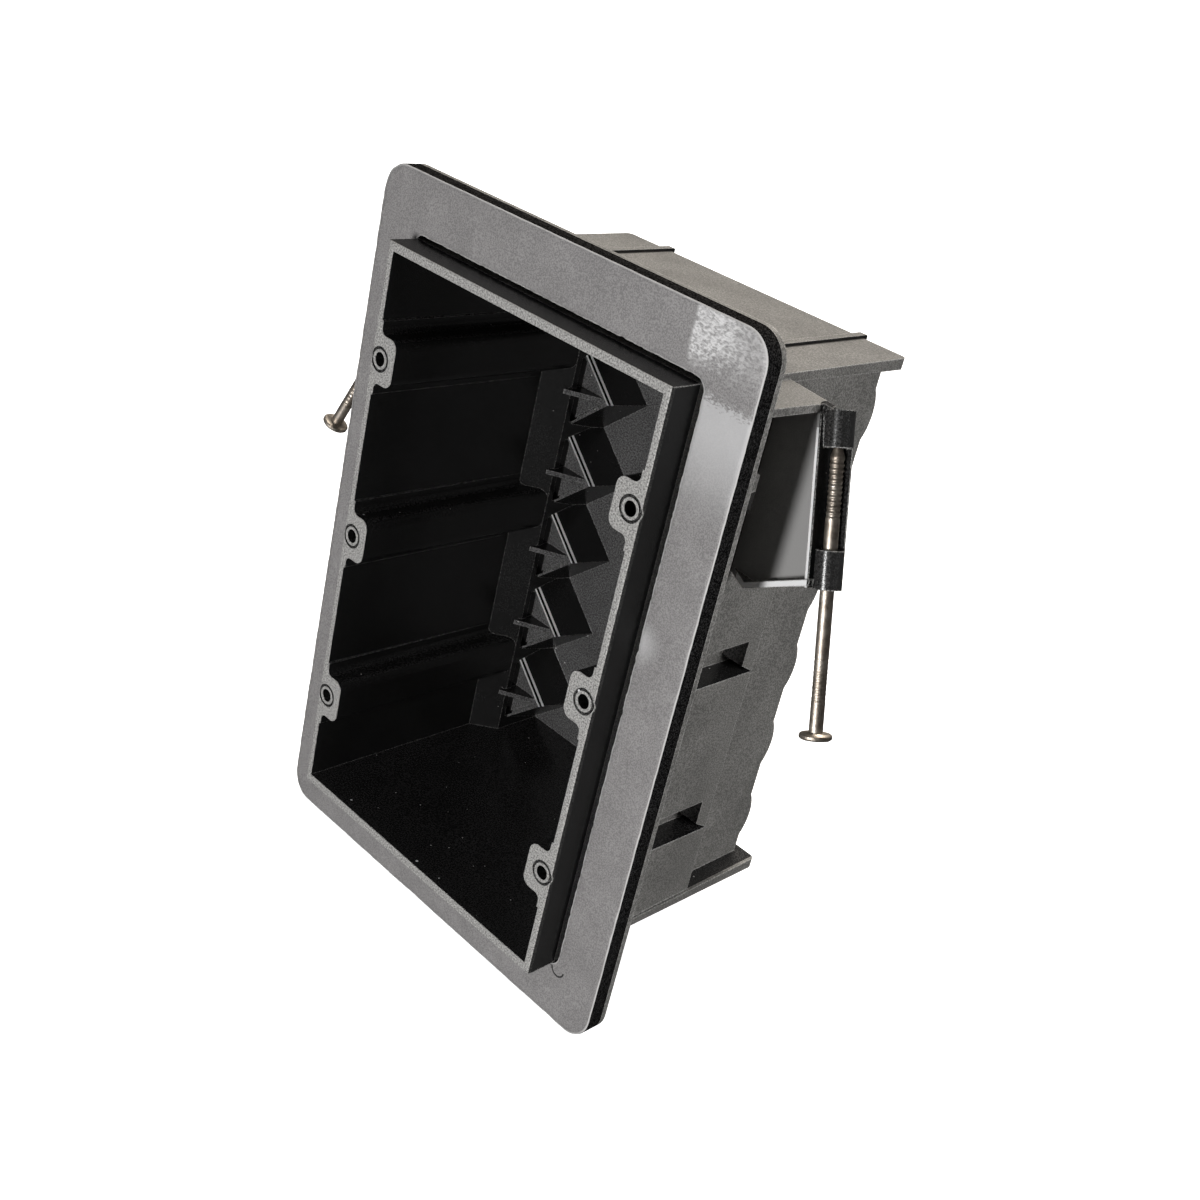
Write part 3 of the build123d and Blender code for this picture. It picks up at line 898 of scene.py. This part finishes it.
# %% Sweep and seat both nails
def set_input(modifier, tree, name, value):
    """Set a modifier's input by its socket's identifier."""
    for item in tree.interface.items_tree:
        if item.item_type == "SOCKET" and item.in_out == "INPUT" and item.name == name:
            modifier[item.identifier] = value


def baked(piece):
    """Turn the evaluated piece into a plain mesh."""
    graph = bpy.context.evaluated_depsgraph_get()
    data = bpy.data.meshes.new_from_object(piece.evaluated_get(graph))
    piece.modifiers.clear()
    piece.data = data
    return piece


def dressed_nail(side):
    """Build one nail along the axis that the record gives for its point."""
    mount = mount_named(f"nail_point_{side}")
    tip = Vector(mount["pos_m"])
    axis = Vector(mount["axis"]).normalized()
    node = frame["nodes"][f"nail_{side}"]
    along = [vertex.co.dot(axis) for vertex in node.data.vertices]
    length = max(along) - min(along)
    data = bpy.data.meshes.new(f"rolled_nail_{side}")
    piece = bpy.data.objects.new(f"rolled_nail_{side}", data)
    bpy.context.scene.collection.objects.link(piece)
    modifier = piece.modifiers.new("rolled nail", "NODES")
    modifier.node_group = rolled_nail
    set_input(modifier, rolled_nail, "Length", length)
    set_input(modifier, rolled_nail, "Material", steel)
    piece = baked(piece)
    turn = axis.to_track_quat("Z", "Y").to_matrix().to_4x4()
    piece.data.transform(Matrix.Translation(tip - axis * length) @ turn)
    for face in piece.data.polygons:
        face.use_smooth = True
    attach(piece, f"{side}_nail")
    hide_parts(f"nail_{side}")
    return piece


for side in ("right", "left"):
    piece = dressed_nail(side)
    print(piece.name, "has", len(piece.data.polygons), "faces")

# %% [markdown]
# ## Floor and light
# The photograph is a catalogue picture on white, taken with a light close to the lens. A pale floor that
# curves up into a wall stands in for the white. It throws no light on the box, so the cavity stays as
# black as it is in the picture.

# %% Lay the floor
floor_flat = 1.2
floor_bend = 1.0
floor_bend_steps = 12
floor_high = 2.6
floor_sides = 96
floor_level = cad_box[0][2]
floor_pale = grey(0.8)
floor_rough = 0.9
floor_own_light = 1.0
white = grey(1.0)


def floor_finish():
    """A pale, matt surface that glows by itself."""
    material, tree, shader = new_material("pale_floor")
    fill(tree, shader, Base_Color=with_alpha(floor_pale), Roughness=floor_rough, Specular_IOR_Level=0.0,
         Emission_Color=with_alpha(white), Emission_Strength=floor_own_light)
    return material


def lay_floor():
    """A round pale floor whose rim curves up into a wall, so that every view has a plain background."""
    profile = [(0.0, 0.0), (floor_flat / 2, 0.0)]
    for step in range(floor_bend_steps + 1):
        angle = math.pi / 2 * step / floor_bend_steps
        profile.append((floor_flat + floor_bend * math.sin(angle), floor_bend * (1 - math.cos(angle))))
    profile.append((floor_flat + floor_bend, floor_high))
    mesh = bmesh.new()
    points = [mesh.verts.new((reach, 0, floor_level + height)) for reach, height in profile]
    lines = [mesh.edges.new(pair) for pair in zip(points, points[1:])]
    bmesh.ops.spin(mesh, geom=points + lines, axis=(0, 0, 1), cent=(0, 0, 0), angle=2 * math.pi,
                   steps=floor_sides)
    bmesh.ops.remove_doubles(mesh, verts=mesh.verts, dist=mm / 10)
    floor = smooth_object(mesh, "floor")
    floor.data.materials.append(floor_finish())
    floor.visible_diffuse = False
    floor.visible_glossy = False
    floor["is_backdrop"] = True
    return floor


floor = lay_floor()
print("floor lies", round(floor_level / mm, 1), "mm below the screw pattern's centre")

# %% [markdown]
# A small key looks straight in from the front, and a sheet on the right models the side wall. A wide
# fill comes from behind on the left, and a warm light from behind and above brings out the stud plate.
# The sheet and the fill leave no highlights of their own.

# %% Hang the lights
warm_light = (1.0, 0.93, 0.84)
world_strength = 0.06


def hang_light(name, azimuth, elevation, distance, size, power):
    """Area light aimed at the box. Azimuth 0 is in front, 90 on the right."""
    data = bpy.data.lights.new(name, "AREA")
    data.shape = "DISK"
    data.size = size
    data.energy = power
    light = bpy.data.objects.new(name, data)
    turn, lift = math.radians(azimuth), math.radians(elevation)
    way = Vector((math.sin(turn) * math.cos(lift), -math.cos(turn) * math.cos(lift), math.sin(lift)))
    light.location = way * distance
    light.rotation_euler = way.to_track_quat("Z", "Y").to_euler()
    bpy.context.scene.collection.objects.link(light)
    return light


hang_light("front_key", azimuth=9, elevation=2, distance=0.6, size=0.13, power=2.8)
right_sheet = hang_light("right_sheet", azimuth=98, elevation=20, distance=1.0, size=0.5, power=6.4)
back_fill = hang_light("back_fill", azimuth=215, elevation=12, distance=1.0, size=0.8, power=5.0)
top_back = hang_light("top_back", azimuth=200, elevation=62, distance=1.0, size=0.4, power=9.0)
right_sheet.visible_glossy = False
back_fill.visible_glossy = False
top_back.data.color = warm_light
world = bpy.data.worlds.new("studio")
world.use_nodes = True
world.node_tree.nodes["Background"].inputs["Color"].default_value = with_alpha(white)
world.node_tree.nodes["Background"].inputs["Strength"].default_value = world_strength
bpy.context.scene.world = world
bpy.context.scene.view_settings.view_transform = "Standard"

# %% [markdown]
# ## Size of the dressed object
# The dressed object has to stay inside the box of its solids, so its box is printed to set beside the
# solid box printed at the start.

# %% Print the dressed box and finish
visual_box = [list(corner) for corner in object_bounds()]
print("dressed box in mm:", [in_mm(corner) for corner in visual_box])
